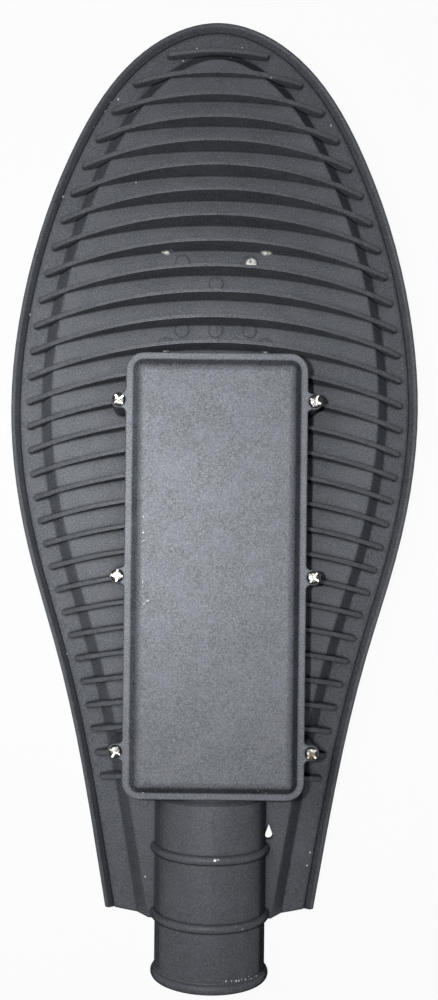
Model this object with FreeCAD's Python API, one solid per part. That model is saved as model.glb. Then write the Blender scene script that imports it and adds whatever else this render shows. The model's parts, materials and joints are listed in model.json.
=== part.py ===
import FreeCAD, Part
import math
import os

# Frame, in millimetres: +Z faces the cooling fins, +Y runs from the pole socket to the tip.
# The origin is the centre of the socket's mouth, on the socket's axis.
V = FreeCAD.Vector
UP = V(0, 0, 1)
ALONG = V(0, 1, 0)

# Shell of the die-cast housing
TIP_Y = 522.2
BODY_END_Y = 35.0
BODY_HALF_WIDTH = 112.0
RIM_Z = -32.0
LIP_Z = -5.5
LIP_WIDTH = 1.9
LIP_ROUND = 0.7
SKIRT_DRAFT = 0.8
SKIRT_WALL = 3.2
GROOVE_WIDTH = 2.7
GROOVE_Z = -9.5
GROOVE_FLOOR_WIDTH = 0.5
LEDGE_EDGE_Z = -8.6
SLOPE_FOOT_INSET = 16.8
SLOPE_FOOT_Z = -7.4
SLOPE_TOP_INSET = 22.8
PLATEAU_Z = 0.0
PLATE = 4.2
END_PLAN_R = 290.0
END_HALF_WIDTH = 57.5

# Cooling fins
FIN_COUNT = 30
FIN_FIRST_Y = 505.0
FIN_PITCH = 13.54
FIN_PLAN_R = 320.0
FIN_END_INSET = 8.5
FIN_TOP = 1.5
FIN_BASE = 3.1
FIN_END_Z = -4.4
FIN_CREST_Z = 17.5
FIN_FALL_Y = 420.0

# Pole socket
SOCKET_R = 30.0
SOCKET_BORE_R = 26.0
SOCKET_DEPTH = 101.0
NECK_R = 27.7
NECK_Y = 98.0
BEAD_R = 32.0
BEAD_CREST_Y = 3.4
BEAD_LENGTH = 7.0
BEAD_NOSE = 2.9
BAND_R = 32.3
BAND_Y = 34.4
BAND_WIDTH = 5.0
BAND_PITCH = 35.6
GAP_WIDTH = 4.4
GAP_LENGTH = 8.2
GAP_BITE = 0.3
GAP_Y = 74.4
CLAMP_BOSS_R = 7.5
CLAMP_BOSS_Z = -31.9
CLAMP_R = 4.0
CLAMP_LENGTH = 5.4
CLAMP_KEY = 4.0

# Driver box, its cover and the cover's ears
COVER_WIDTH = 94.0
COVER_LENGTH = 230.5
COVER_CORNER_R = 9.3
BOX_INSET = 0.5
BOX_WALL = 4.5
END_WALL = 6.75
BOX_TOP_Z = 33.0
LEAST_CORNER_R = 1.5
COVER_FLANGE = 3.0
COVER_FLANGE_WIDTH = 3.7
COVER_SLOPE = 56.0
COVER_SLOPE_R = 4.4
COVER_RISE = 6.0
COVER_WALL = 3.0
COVER_EDGE_R = 0.8
COVER_FOOT_R = 1.2
EAR_R = 4.1
EAR_ROOT_R = 2.2
EAR_REACH = 3.5
EAR_END = 24.75
SEAL_WIDTH = 2.0
SEAL_DEPTH = 1.5
BOX_START_Y = SOCKET_DEPTH + END_WALL - BOX_WALL - BOX_INSET
BOX_CENTRE_Y = BOX_START_Y + COVER_LENGTH / 2
EAR_X = COVER_WIDTH / 2 + EAR_REACH

# Marks of the ejectors and screw bosses on the casting's back
MARK_R = 3.65
MARK_HEIGHT = 0.5
CENTRE_MARKS = (6.8, -18.5)
PIN_MARK_R = 2.5
PIN_MARK_HEIGHT = 0.2
LEDGE_PIN = (45.8, 43.0)
LEDGE_PIN_Z = -7.8
PLATEAU_PIN = (36.5, 93.7)

# Lamp chamber under the plateau, past the box's far end
LAMP_GAP = 36.75
LAMP_Y = BOX_START_Y + COVER_LENGTH + LAMP_GAP
CHAMBER_Z = -18.0
CHAMBER_R = 46.0
CHAMBER_MOUTH_R = 44.0
LENS_STEP_Z = -14.0
LENS_SEAT_R = 34.6
CHAMBER_BORE_R = 30.6
CHAMBER_FLOOR_Z = -6.0
PAD = 0.5
COB_SIZE = 43.0
COB_CORNER_R = 3.0
COB_PLATE = 2.0
COB_LIGHT_R = 12.5
COB_LIGHT = 0.8
COB_HOLE_X = 18.4
COB_HOLE_Y = 18.5
RING_HOLE_X = 27.3
RING_HOLE_Y = 26.5
REFLECTOR_BASE_R = 13.5
REFLECTOR_MOUTH_R = 25.5
REFLECTOR_WALL = 1.0
REFLECTOR_FLANGE_R = 30.0
LENS_SEAL = 1.5
LENS_FLANGE_R = 33.0
LENS_DOME_R = 29.6
LENS_DOME = 12.0
RING_R = 43.5
RING_BORE_R = 30.0
RING_PLATE = 2.6

# Driver, terminals and cable entry inside the box
DRIVER_WIDTH = 62.0
DRIVER_HEIGHT = 29.0
DRIVER_CAP = 6.0
DRIVER_WALL = 1.5
FOOT_REACH = 7.0
FOOT_R = 6.0
FOOT_PLATE = 2.5
FOOT_BOSS = 3.0
FOOT_BOSS_R = 5.0
FOOT_WALL_GAP = 7.75
TERMINAL_BAY = 47.75
TERMINAL_WALL_GAP = 27.75
TERMINAL_POLES = 3
TERMINAL_PITCH = 13.0
TERMINAL_LENGTH = 22.0
TERMINAL_HEIGHT = 16.0
TERMINAL_BAR = 7.0
TERMINAL_BAR_LENGTH = 18.0
TERMINAL_BAR_Z = 3.0
TERMINAL_WIRE_R = 2.0
TERMINAL_WELL_R = 3.1
TERMINAL_SEAT = 6.0
EARTH_SIDE_GAP = 11.0
EARTH_WALL_GAP = 13.75
EARTH_BOSS = 4.0
EARTH_LUG = 0.8
EARTH_LUG_R = 4.2
EARTH_CRIMP_R = 2.0
EARTH_CRIMP = 8.0
EARTH_WIRE_R = 1.2
ENTRY_Z = 14.0
ENTRY_R = 7.0
GROMMET_FLANGE_R = 9.5
GROMMET_FLANGE = 2.0
GROMMET_DIMPLE_R = 3.5
GROMMET_SKIN = 1.0
LEAD_HOLE_R = 2.6
LEAD_X = 16.0
TERMINAL_Y = SOCKET_DEPTH + END_WALL + TERMINAL_WALL_GAP
EARTH_X = EARTH_SIDE_GAP + BOX_WALL + BOX_INSET - COVER_WIDTH / 2
EARTH_Y = SOCKET_DEPTH + END_WALL + EARTH_WALL_GAP

# Screws: thread radius, head radius, head height; and how deep each kind bites
M3 = (1.5, 2.8, 2.1)
M4 = (2.0, 3.45, 2.7)
COVER_SCREW_BITE = 9.0
FOOT_SCREW_BITE = 4.0
COB_SCREW_BITE = 3.5
RING_SCREW_BITE = 8.0
EARTH_SCREW_BITE = 4.5
TERMINAL_SCREW_BITE = 2.5
HOLE_END = 0.9
THREAD_FIT = 0.03
HOLE_FIT = 0.3
CUT = 1.0


def block(x0, x1, y0, y1, z0, z1):
    return Part.makeBox(x1 - x0, y1 - y0, z1 - z0, V(x0, y0, z0))


def disc(x, y, z0, z1, radius):
    low, high = min(z0, z1), max(z0, z1)
    return Part.makeCylinder(radius, high - low, V(x, y, low), UP)


def cone(x, y, z0, r0, z1, r1):
    direction = UP if z1 > z0 else -UP
    return Part.makeCone(r0, r1, abs(z1 - z0), V(x, y, z0), direction)


def tube_along_y(y0, y1, radius, z=0.0):
    return Part.makeCylinder(radius, y1 - y0, V(0, y0, z), ALONG)


def fused(shapes):
    return shapes[0].fuse(shapes[1:])


def turned(points, x=0.0, y=0.0):
    """Solid turned about the vertical line at x, y from (radius, height) points."""
    corners = [V(x + r, y, z) for r, z in points]
    face = Part.Face(Part.makePolygon(corners + corners[:1]))
    return face.revolve(V(x, y, 0), UP, 360)


def rounded_wire(x, y, width, length, radius, z):
    """Closed rectangle with round corners, centred on x, y at height z."""
    a, b = width / 2, length / 2
    k = radius * (1 - math.sqrt(0.5))
    edges = []
    for sx, sy in ((1, 1), (-1, 1), (-1, -1), (1, -1)):
        start = V(x + sx * a, y + sy * (b - radius), z)
        middle = V(x + sx * (a - k), y + sy * (b - k), z)
        end = V(x + sx * (a - radius), y + sy * b, z)
        if sx != sy:
            start, end = end, start
        edges.append((start, middle, end))
    wire = []
    for number, (start, middle, end) in enumerate(edges):
        wire.append(Part.Arc(start, middle, end).toShape())
        wire.append(Part.makeLine(end, edges[(number + 1) % 4][0]))
    return Part.Wire(wire)


def rounded_block(x, y, width, length, radius, z0, z1):
    base = Part.Face(rounded_wire(x, y, width, length, radius, z0))
    return base.extrude(V(0, 0, z1 - z0))


def ruled(wires):
    return Part.makeLoft(wires, True, True)


def outline_shares():
    """Right half of the outline: share of the half width, share of the shell's length."""
    return ((0.2570, 0.9835), (0.4180, 0.9563), (0.7125, 0.8545), (0.8777, 0.7526),
            (0.9723, 0.6507), (1.0000, 0.5577), (0.9741, 0.4809), (0.9000, 0.3961),
            (0.7714, 0.2942), (0.6625, 0.1924), (0.5786, 0.0905), (0.5116, 0.0),
            (0.4813, -0.0409))


def outline_curve():
    """Right half, tip and left half of the outline as one curve, a little past the flat end."""
    length = TIP_Y - BODY_END_Y
    right = [V(BODY_HALF_WIDTH * w, BODY_END_Y + length * s, 0) for w, s in outline_shares()]
    left = [V(-p.x, p.y, 0) for p in reversed(right)]
    curve = Part.BSplineCurve()
    curve.interpolate(left + [V(0, TIP_Y, 0)] + right)
    return curve, left + [V(0, TIP_Y, 0)] + right


def inset_curve(inset, z):
    """The outline moved inwards by inset, at height z."""
    base, points = outline_curve()
    moved = []
    for point in points:
        tangent = base.tangent(base.parameter(point))[0]
        moved.append(point + V(tangent.y, -tangent.x, 0) * inset + V(0, 0, z))
    curve = Part.BSplineCurve()
    curve.interpolate(moved)
    return curve


def inset_wire(inset, z):
    edge = inset_curve(inset, z).toShape()
    ends = [edge.valueAt(edge.LastParameter), edge.valueAt(edge.FirstParameter)]
    return Part.Wire([edge, Part.makeLine(*ends)])


def inside_end(inset):
    """Disc that holds the shell and ends it in a shallow arc, inset from its end by the socket."""
    rise = math.sqrt(END_PLAN_R ** 2 - END_HALF_WIDTH ** 2)
    return disc(0, BODY_END_Y + rise, RIM_Z - CUT, FIN_CREST_Z + CUT, END_PLAN_R - inset)


def tray():
    """Raised lip, groove, ledge, slope and plateau, still solid underneath."""
    outer = ruled([
        inset_wire(-SKIRT_DRAFT, RIM_Z),
        inset_wire(0, LIP_Z - LIP_ROUND),
        inset_wire(LIP_ROUND, LIP_Z),
    ])
    groove_inner = LIP_WIDTH + GROOVE_WIDTH
    pool = ruled([
        inset_wire(groove_inner, GROOVE_Z),
        inset_wire(LIP_WIDTH, LIP_Z),
        inset_wire(LIP_WIDTH, LIP_Z + CUT),
    ])
    ledge_inset = groove_inner + GROOVE_FLOOR_WIDTH
    island = ruled([
        inset_wire(ledge_inset, GROOVE_Z - CUT),
        inset_wire(ledge_inset, LEDGE_EDGE_Z),
        inset_wire(SLOPE_FOOT_INSET, SLOPE_FOOT_Z),
        inset_wire(SLOPE_TOP_INSET, PLATEAU_Z),
    ])
    return outer.cut(pool).fuse(island)


def hollow():
    """Space under the tray, which follows its ledge, slope and plateau one plate lower."""
    space = ruled([
        inset_wire(SKIRT_WALL - SKIRT_DRAFT, RIM_Z - CUT),
        inset_wire(SKIRT_WALL + SKIRT_DRAFT, GROOVE_Z - PLATE),
        inset_wire(SLOPE_FOOT_INSET + PLATE / 2, SLOPE_FOOT_Z - PLATE),
        inset_wire(SLOPE_TOP_INSET + PLATE / 2, PLATEAU_Z - PLATE),
    ])
    return space.common(inside_end(SKIRT_WALL))


def shell():
    """Open tray with its fins."""
    return fused([tray()] + fins()).common(inside_end(0)).cut(hollow())


def fin_crest(y):
    """Height of a fin's crest: level along the body and falling towards the tip."""
    if y <= FIN_FALL_Y:
        return FIN_CREST_Z
    share = (y - FIN_FALL_Y) / (TIP_Y - FIN_END_INSET - FIN_FALL_Y)
    return FIN_CREST_Z - (FIN_CREST_Z - FIN_END_Z) * share ** 2


def fin_end(centre, limit):
    """Point where a fin's arc meets its end line inside the outline, on the +X side."""
    low, high = V(0, centre.y + FIN_PLAN_R, 0), V(FIN_PLAN_R, centre.y, 0)
    middle = centre + V(1, 1, 0) * (FIN_PLAN_R * math.sqrt(0.5))
    arc = Part.Arc(low, middle, high).toShape()
    return arc.distToShape(limit)[1][0][0]


def fin(y, limit):
    """One curved fin, tapered to its crest, with round ends and a domed crest."""
    centre = V(0, y - FIN_PLAN_R, 0)
    end = fin_end(centre, limit)
    base_z = GROOVE_Z
    crest = fin_crest(y)
    r0, r1 = FIN_BASE / 2, FIN_TOP / 2
    section = [V(-r0, 0, base_z), V(r0, 0, base_z), V(r1, 0, FIN_CREST_Z), V(-r1, 0, FIN_CREST_Z)]
    swing = math.degrees(math.asin(end.x / FIN_PLAN_R))
    face = Part.Face(Part.makePolygon(section + section[:1]))
    face.translate(V(FIN_PLAN_R, y - FIN_PLAN_R, 0))
    face.rotate(centre, UP, 90 - swing)
    blade = face.revolve(centre, UP, 2 * swing)
    tips = [cone(s * end.x, end.y, base_z, r0, FIN_CREST_Z, r1) for s in (1, -1)]
    reach = end.x + r0
    arch = Part.Arc(V(reach, 0, FIN_END_Z), V(0, 0, crest), V(-reach, 0, FIN_END_Z)).toShape()
    legs = Part.makePolygon([V(-reach, 0, FIN_END_Z), V(-reach, 0, base_z),
                             V(reach, 0, base_z), V(reach, 0, FIN_END_Z)])
    dome = Part.Face(Part.Wire([arch] + legs.Edges))
    dome.translate(V(0, end.y - 2 * r0, 0))
    dome = dome.extrude(V(0, y - end.y + 4 * r0, 0))
    return fused([blade] + tips).common(dome)


def fins():
    limit = inset_curve(FIN_END_INSET + FIN_BASE / 2, 0).toShape()
    return [fin(FIN_FIRST_Y - number * FIN_PITCH, limit) for number in range(FIN_COUNT)]


def box_size(inset):
    """Width, length and corner radius of the driver box's outline, moved inwards by inset."""
    radius = max(COVER_CORNER_R - inset, LEAST_CORNER_R)
    return COVER_WIDTH - 2 * inset, COVER_LENGTH - 2 * inset, radius


def box_wire(inset, z):
    width, length, radius = box_size(inset)
    return rounded_wire(0, BOX_CENTRE_Y, width, length, radius, z)


def box_block(inset, z0, z1):
    return Part.Face(box_wire(inset, z0)).extrude(V(0, 0, z1 - z0))


def box_inner_y(side):
    return BOX_CENTRE_Y + side * (COVER_LENGTH / 2 - BOX_INSET - BOX_WALL)


def ear_places():
    spacing = COVER_LENGTH / 2 - EAR_END
    return [(side, BOX_CENTRE_Y + row * spacing) for row in (-1, 0, 1) for side in (-1, 1)]


def ear(side, y, z0, z1):
    """Round lug on the box's side, with its root in the wall."""
    root = COVER_WIDTH / 2 - BOX_WALL / 2
    x0, x1 = sorted((side * root, side * EAR_X))
    return block(x0, x1, y - EAR_R, y + EAR_R, z0, z1).fuse(disc(side * EAR_X, y, z0, z1, EAR_R))


def eared_block(inset, z0, z1):
    """Block of the box's outline with its six ears, their roots rounded into its sides."""
    ears = [ear(side, y, z0, z1) for side, y in ear_places()]
    body = box_block(inset, z0, z1).fuse(ears).removeSplitter()
    roots = [(COVER_WIDTH / 2 - inset, y + end * EAR_R) for _, y in ear_places() for end in (-1, 1)]
    edges = []
    for edge in body.Edges:
        box = edge.BoundBox
        upright = box.ZLength > (z1 - z0) / 2 and box.XLength < CUT / 2 and box.YLength < CUT / 2
        if upright and any(abs(abs(box.Center.x) - x) + abs(box.Center.y - y) < CUT for x, y in roots):
            edges.append(edge)
    return body.makeFillet(EAR_ROOT_R, edges)


def seal_ring():
    """Square-cut ring in the middle of the box's wall, down from its top edge."""
    outer = BOX_INSET + (BOX_WALL - SEAL_WIDTH) / 2
    ring = box_block(outer, BOX_TOP_Z - SEAL_DEPTH, BOX_TOP_Z)
    return ring.cut(box_block(outer + SEAL_WIDTH, BOX_TOP_Z - SEAL_DEPTH, BOX_TOP_Z))


def band_places():
    return [BAND_Y, BAND_Y + BAND_PITCH]


def pipe():
    """Pole socket's pipe as one turned profile: flared mouth, two bands, and a neck at the box."""
    low = SOCKET_BORE_R - CUT
    rim, crest = V(0, 0, BEAD_R - BEAD_NOSE), V(0, BEAD_CREST_Y, BEAD_R)
    foot = V(0, BEAD_LENGTH, SOCKET_R)
    turn = (crest + foot) * 0.5
    ease = (foot.y - crest.y) / 10
    edges = [Part.Arc(rim, crest, turn).toShape(),
             Part.Arc(turn, (turn + foot) * 0.5 - V(0, ease, ease), foot).toShape()]
    for y in band_places():
        start, end = V(0, y - BAND_WIDTH / 2, SOCKET_R), V(0, y + BAND_WIDTH / 2, SOCKET_R)
        edges += [Part.makeLine(foot, start), Part.Arc(start, V(0, y, BAND_R), end).toShape()]
        foot = end
    last_y = box_inner_y(-1) - BOX_WALL / 4
    edges += Part.makePolygon([foot, V(0, NECK_Y, SOCKET_R), V(0, NECK_Y + SOCKET_R - NECK_R, NECK_R),
                               V(0, last_y, NECK_R), V(0, last_y, low), V(0, 0, low), rim]).Edges
    return Part.Face(Part.Wire(edges)).revolve(V(0, 0, 0), ALONG, 360)


def socket():
    """The pipe, with a boss under each band for a clamp screw."""
    return [pipe()] + [disc(0, y, -SOCKET_BORE_R, CLAMP_BOSS_Z, CLAMP_BOSS_R) for y in band_places()]


def casting_gap():
    """Small tear-shaped gap beside the socket, right through the plate."""
    radius = GAP_WIDTH / 2
    x = SOCKET_R - GAP_BITE + radius
    y = GAP_Y + radius
    low, high = PLATEAU_Z - 2 * PLATE, PLATEAU_Z + CUT
    tip = V(x, GAP_Y + GAP_LENGTH, low)
    left, right = V(x - radius, y, low), V(x + radius, y, low)
    arc = Part.Arc(left, V(x, y - radius, low), right).toShape()
    sides = Part.makePolygon([right, tip, left])
    return Part.Face(Part.Wire([arc] + sides.Edges)).extrude(V(0, 0, high - low))


def corners(x, y):
    """Four places round the lamp's centre."""
    return [(sx * x, LAMP_Y + sy * y) for sx in (-1, 1) for sy in (-1, 1)]


def marks():
    """Low round marks on the plateau, behind the lamp's screws and on its centre line."""
    spots = corners(COB_HOLE_X, COB_HOLE_Y) + corners(RING_HOLE_X, RING_HOLE_Y)
    spots += [(0, LAMP_Y + offset) for offset in CENTRE_MARKS]
    discs = [disc(x, y, PLATEAU_Z - CUT, PLATEAU_Z + MARK_HEIGHT, MARK_R) for x, y in spots]
    for (x, y), low in ((LEDGE_PIN, LEDGE_PIN_Z), (PLATEAU_PIN, PLATEAU_Z)):
        discs += [disc(side * x, y, low - CUT, low + PIN_MARK_HEIGHT, PIN_MARK_R) for side in (-1, 1)]
    return discs


def cob_face_z():
    return CHAMBER_FLOOR_Z - PAD - COB_PLATE


def lens_face_z():
    return LENS_STEP_Z - LENS_SEAL


def ring_face_z():
    return CHAMBER_Z - RING_PLATE


def lead_channel():
    """Slanting hole for the lamp's leads, from the box's floor into the lamp chamber."""
    start = V(LEAD_X, box_inner_y(1) - 2 * LEAD_HOLE_R, PLATEAU_Z + CUT)
    outward = V(start.x, start.y - LAMP_Y, 0).normalize()
    end = V(0, LAMP_Y, LENS_STEP_Z + 1.4 * LEAD_HOLE_R) + outward * (CHAMBER_BORE_R - CUT)
    return Part.makeCylinder(LEAD_HOLE_R, (end - start).Length, start, end - start)


def lamp_chamber_cuts():
    mouth = CHAMBER_Z - CUT
    holes = [disc(0, LAMP_Y, CHAMBER_FLOOR_Z, mouth, CHAMBER_BORE_R),
             disc(0, LAMP_Y, LENS_STEP_Z, mouth, LENS_SEAT_R)]
    holes += [tapped(x, y, CHAMBER_Z, RING_SCREW_BITE, M4, below=True)
              for x, y in corners(RING_HOLE_X, RING_HOLE_Y)]
    holes += [tapped(x, y, CHAMBER_FLOOR_Z, COB_SCREW_BITE, M3, below=True)
              for x, y in corners(COB_HOLE_X, COB_HOLE_Y)]
    return holes


def tapped(x, y, face_z, bite, screw, below=False):
    """Blind hole for a screw's thread, entered at face_z from above, or from below."""
    out = -1 if below else 1
    return disc(x, y, face_z + out * CUT, face_z - out * (bite + HOLE_END), screw[0] + THREAD_FIT)


def foot_places():
    return [(0, box_inner_y(-1) + TERMINAL_BAY), (0, box_inner_y(1) - FOOT_WALL_GAP)]


def terminal_gaps():
    """Places between the terminal block's poles, where it is screwed down."""
    first = 1 - TERMINAL_POLES / 2
    return [((first + number) * TERMINAL_PITCH, TERMINAL_Y) for number in range(TERMINAL_POLES - 1)]


def floor_bosses():
    """Round screw bosses that stand on the box's floor."""
    low = PLATEAU_Z - PLATE / 2
    feet = [disc(x, y, low, PLATEAU_Z + FOOT_BOSS, FOOT_BOSS_R) for x, y in foot_places()]
    return feet + [disc(EARTH_X, EARTH_Y, low, PLATEAU_Z + EARTH_BOSS, FOOT_BOSS_R)]


def floor_holes():
    holes = [tapped(x, y, PLATEAU_Z + FOOT_BOSS, FOOT_SCREW_BITE, M4) for x, y in foot_places()]
    holes += [tapped(x, y, PLATEAU_Z, TERMINAL_SCREW_BITE, M3) for x, y in terminal_gaps()]
    holes.append(tapped(EARTH_X, EARTH_Y, PLATEAU_Z + EARTH_BOSS, EARTH_SCREW_BITE, M4))
    return holes


def housing():
    """The whole die-casting: shell, fins, driver box, pole socket and lamp chamber."""
    lamp_boss = cone(0, LAMP_Y, PLATEAU_Z - PLATE / 2, CHAMBER_R, CHAMBER_Z, CHAMBER_MOUTH_R)
    box = eared_block(BOX_INSET, PLATEAU_Z - CUT, BOX_TOP_Z)
    body = fused([shell(), lamp_boss, box] + socket() + marks())
    inside = box_block(BOX_INSET + BOX_WALL, PLATEAU_Z, BOX_TOP_Z + CUT)
    tools = [inside.cut(floor_bosses()), seal_ring(), casting_gap(), lead_channel()]
    tools += lamp_chamber_cuts() + floor_holes()
    tools.append(tube_along_y(-CUT, SOCKET_DEPTH, SOCKET_BORE_R))
    tools.append(tube_along_y(SOCKET_DEPTH - CUT, box_inner_y(-1) + CUT, ENTRY_R, ENTRY_Z))
    tools.append(tube_along_y(SOCKET_DEPTH - CUT, SOCKET_DEPTH + GROMMET_FLANGE,
                              GROMMET_FLANGE_R, ENTRY_Z))
    tools += [tapped(side * EAR_X, y, BOX_TOP_Z, COVER_SCREW_BITE, M4) for side, y in ear_places()]
    tools += [disc(0, y, CUT - SOCKET_BORE_R, CLAMP_BOSS_Z - CUT, CLAMP_R + THREAD_FIT)
              for y in band_places()]
    return body.cut(tools)


def panel_flat_inset():
    """Inset of the panel's flat top, inside its slope and the round that ends it."""
    slope = math.radians(COVER_SLOPE)
    return COVER_FLANGE_WIDTH + COVER_RISE / math.tan(slope) + COVER_SLOPE_R * math.tan(slope / 2)


def panel(foot_z):
    """Raised panel: a steep slope all round that rolls over into the flat top."""
    round_wires = []
    for share in (1, 2 / 3, 1 / 3, 0):
        tilt = math.radians(COVER_SLOPE * share)
        inset = panel_flat_inset() - COVER_SLOPE_R * math.sin(tilt)
        z = foot_z + COVER_RISE - COVER_SLOPE_R * (1 - math.cos(tilt))
        round_wires.append(box_wire(inset, z))
    slope = ruled([
        box_wire(COVER_FLANGE_WIDTH, foot_z - COVER_FLANGE / 2),
        box_wire(COVER_FLANGE_WIDTH, foot_z),
        round_wires[0],
    ])
    return slope.fuse(Part.makeLoft(round_wires, True, False))


def foot_edges(lid, z):
    """The lid's edges where the panel's slope stands on the flange."""
    line = box_wire(COVER_FLANGE_WIDTH, z)
    return [edge for edge in lid.Edges
            if edge.BoundBox.ZLength < CUT / 10 and abs(edge.CenterOfMass.z - z) < CUT / 10
            and edge.distToShape(line)[0] < CUT / 100]


def driver_cover():
    """Cast lid with a flat flange, six ears and a raised, bevelled panel."""
    flange_z = BOX_TOP_Z + COVER_FLANGE
    plate = eared_block(0, BOX_TOP_Z, flange_z)
    top = max(plate.Faces, key=lambda face: face.CenterOfMass.z)
    plate = plate.makeFillet(COVER_EDGE_R, top.OuterWire.Edges)
    lid = plate.fuse(panel(flange_z))
    lid = lid.makeFillet(COVER_FOOT_R, foot_edges(lid, flange_z))
    hollow_inset = COVER_FLANGE_WIDTH + COVER_WALL
    hollow = ruled([
        box_wire(hollow_inset, BOX_TOP_Z - CUT),
        box_wire(hollow_inset, BOX_TOP_Z),
        box_wire(panel_flat_inset(), flange_z + COVER_RISE - COVER_WALL),
    ])
    holes = [disc(side * EAR_X, y, BOX_TOP_Z - CUT, flange_z + CUT, M4[0] + HOLE_FIT)
             for side, y in ear_places()]
    return lid.cut([hollow] + holes)


def pan_screw(screw, length):
    """Pan-head screw with a cross recess, head up, with the head's seat at z = 0."""
    thread_r, head_r, head_h = screw
    body = turned([
        (0, -length),
        (thread_r * 0.7, -length),
        (thread_r, thread_r * 0.4 - length),
        (thread_r, 0),
        (head_r, 0),
        (head_r, head_h * 0.45),
        (head_r * 0.86, head_h * 0.8),
        (head_r * 0.5, head_h),
        (0, head_h),
    ])
    half, arm = thread_r * 0.22, head_r * 0.55
    low, high = head_h * 0.35, head_h + CUT
    return body.cut([block(-arm, arm, -half, half, low, high), block(-half, half, -arm, arm, low, high)])


def screws(screw, length, places, seat_z, below=False, turn=25.0):
    """Like screws as one group of solids, each turned a little further than the last."""
    group = []
    for number, (x, y) in enumerate(places):
        one = pan_screw(screw, length)
        one.rotate(V(0, 0, 0), UP, turn * (number + 1))
        if below:
            one.rotate(V(0, 0, 0), V(1, 0, 0), 180)
        one.translate(V(x, y, seat_z))
        group.append(one)
    return Part.makeCompound(group)


def cover_screws():
    places = [(side * EAR_X, y) for side, y in ear_places()]
    return screws(M4, COVER_FLANGE + COVER_SCREW_BITE, places, BOX_TOP_Z + COVER_FLANGE)


def driver_body(inset, y0, y1):
    half = DRIVER_WIDTH / 2 - inset
    return block(-half, half, y0, y1, PLATEAU_Z + inset, PLATEAU_Z + DRIVER_HEIGHT - inset)


def driver_ends():
    """Y of the metal sleeve's two ends, between the caps and their feet."""
    (_, near), (_, far) = foot_places()
    return near + FOOT_REACH + DRIVER_CAP, far - FOOT_REACH - DRIVER_CAP


def driver_case():
    """Folded metal sleeve of the driver, lying on the box's floor."""
    y0, y1 = driver_ends()
    return driver_body(0, y0, y1).cut(driver_body(DRIVER_WALL, y0 - CUT, y1 + CUT))


def driver_potting():
    """Circuit and its filling, one block inside the sleeve."""
    return driver_body(DRIVER_WALL, *driver_ends())


def driver_caps():
    """Moulded end caps, each with a foot that is screwed to a boss."""
    level = PLATEAU_Z + FOOT_BOSS
    caps = []
    for out, y, (x, hole_y) in zip((-1, 1), driver_ends(), foot_places()):
        cap = driver_body(0, *sorted((y, y + out * DRIVER_CAP)))
        y0, y1 = sorted((y + out * DRIVER_CAP / 2, hole_y))
        foot = block(x - FOOT_R, x + FOOT_R, y0, y1, level, level + FOOT_PLATE)
        foot = foot.fuse(disc(x, hole_y, level, level + FOOT_PLATE, FOOT_R))
        hole = disc(x, hole_y, level - CUT, level + FOOT_PLATE + CUT, M4[0] + HOLE_FIT)
        caps.append(cap.fuse(foot).cut(hole))
    return Part.makeCompound(caps)


def driver_screws():
    seat = PLATEAU_Z + FOOT_BOSS + FOOT_PLATE
    return screws(M4, FOOT_PLATE + FOOT_SCREW_BITE, foot_places(), seat)


def pole_places():
    first = (1 - TERMINAL_POLES) / 2
    return [(first + number) * TERMINAL_PITCH for number in range(TERMINAL_POLES)]


def terminal_wells():
    return [(x, TERMINAL_Y + row * TERMINAL_BAR_LENGTH / 4) for x in pole_places() for row in (-1, 1)]


def terminal_bar_block(x, length):
    low = PLATEAU_Z + TERMINAL_BAR_Z
    half = TERMINAL_BAR / 2
    return block(x - half, x + half, TERMINAL_Y - length / 2, TERMINAL_Y + length / 2,
                 low, low + TERMINAL_BAR)


def terminal_block():
    """Moulded block with a through channel for each pole and a well over each screw."""
    half = TERMINAL_POLES * TERMINAL_PITCH / 2
    top = PLATEAU_Z + TERMINAL_HEIGHT
    body = block(-half, half, TERMINAL_Y - TERMINAL_LENGTH / 2, TERMINAL_Y + TERMINAL_LENGTH / 2,
                 PLATEAU_Z, top)
    tools = [terminal_bar_block(x, TERMINAL_LENGTH + CUT) for x in pole_places()]
    bar_top = PLATEAU_Z + TERMINAL_BAR_Z + TERMINAL_BAR
    tools += [disc(x, y, bar_top - CUT, top + CUT, TERMINAL_WELL_R) for x, y in terminal_wells()]
    for x, y in terminal_gaps():
        tools.append(disc(x, y, PLATEAU_Z - CUT, top + CUT, M3[0] + HOLE_FIT))
        tools.append(disc(x, y, PLATEAU_Z + TERMINAL_SEAT, top + CUT, TERMINAL_WELL_R))
    return body.cut(tools)


def terminal_bars():
    """One clamping bar for each pole, bored for its wires and its screws."""
    bars = []
    for x in pole_places():
        bar = terminal_bar_block(x, TERMINAL_BAR_LENGTH)
        middle = PLATEAU_Z + TERMINAL_BAR_Z + TERMINAL_BAR / 2
        wires = Part.makeCylinder(TERMINAL_WIRE_R, TERMINAL_LENGTH,
                                  V(x, TERMINAL_Y - TERMINAL_LENGTH / 2, middle), ALONG)
        taps = [disc(x, y, middle, middle + TERMINAL_BAR, M3[0] + THREAD_FIT)
                for well_x, y in terminal_wells() if well_x == x]
        bars.append(bar.cut([wires] + taps))
    return Part.makeCompound(bars)


def terminal_screws():
    seat = PLATEAU_Z + TERMINAL_BAR_Z + TERMINAL_BAR
    return screws(M3, TERMINAL_BAR / 2 - TERMINAL_WIRE_R / 2, terminal_wells(), seat)


def terminal_fixing_screws():
    seat = PLATEAU_Z + TERMINAL_SEAT
    return screws(M3, TERMINAL_SEAT + TERMINAL_SCREW_BITE, terminal_gaps(), seat)


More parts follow.
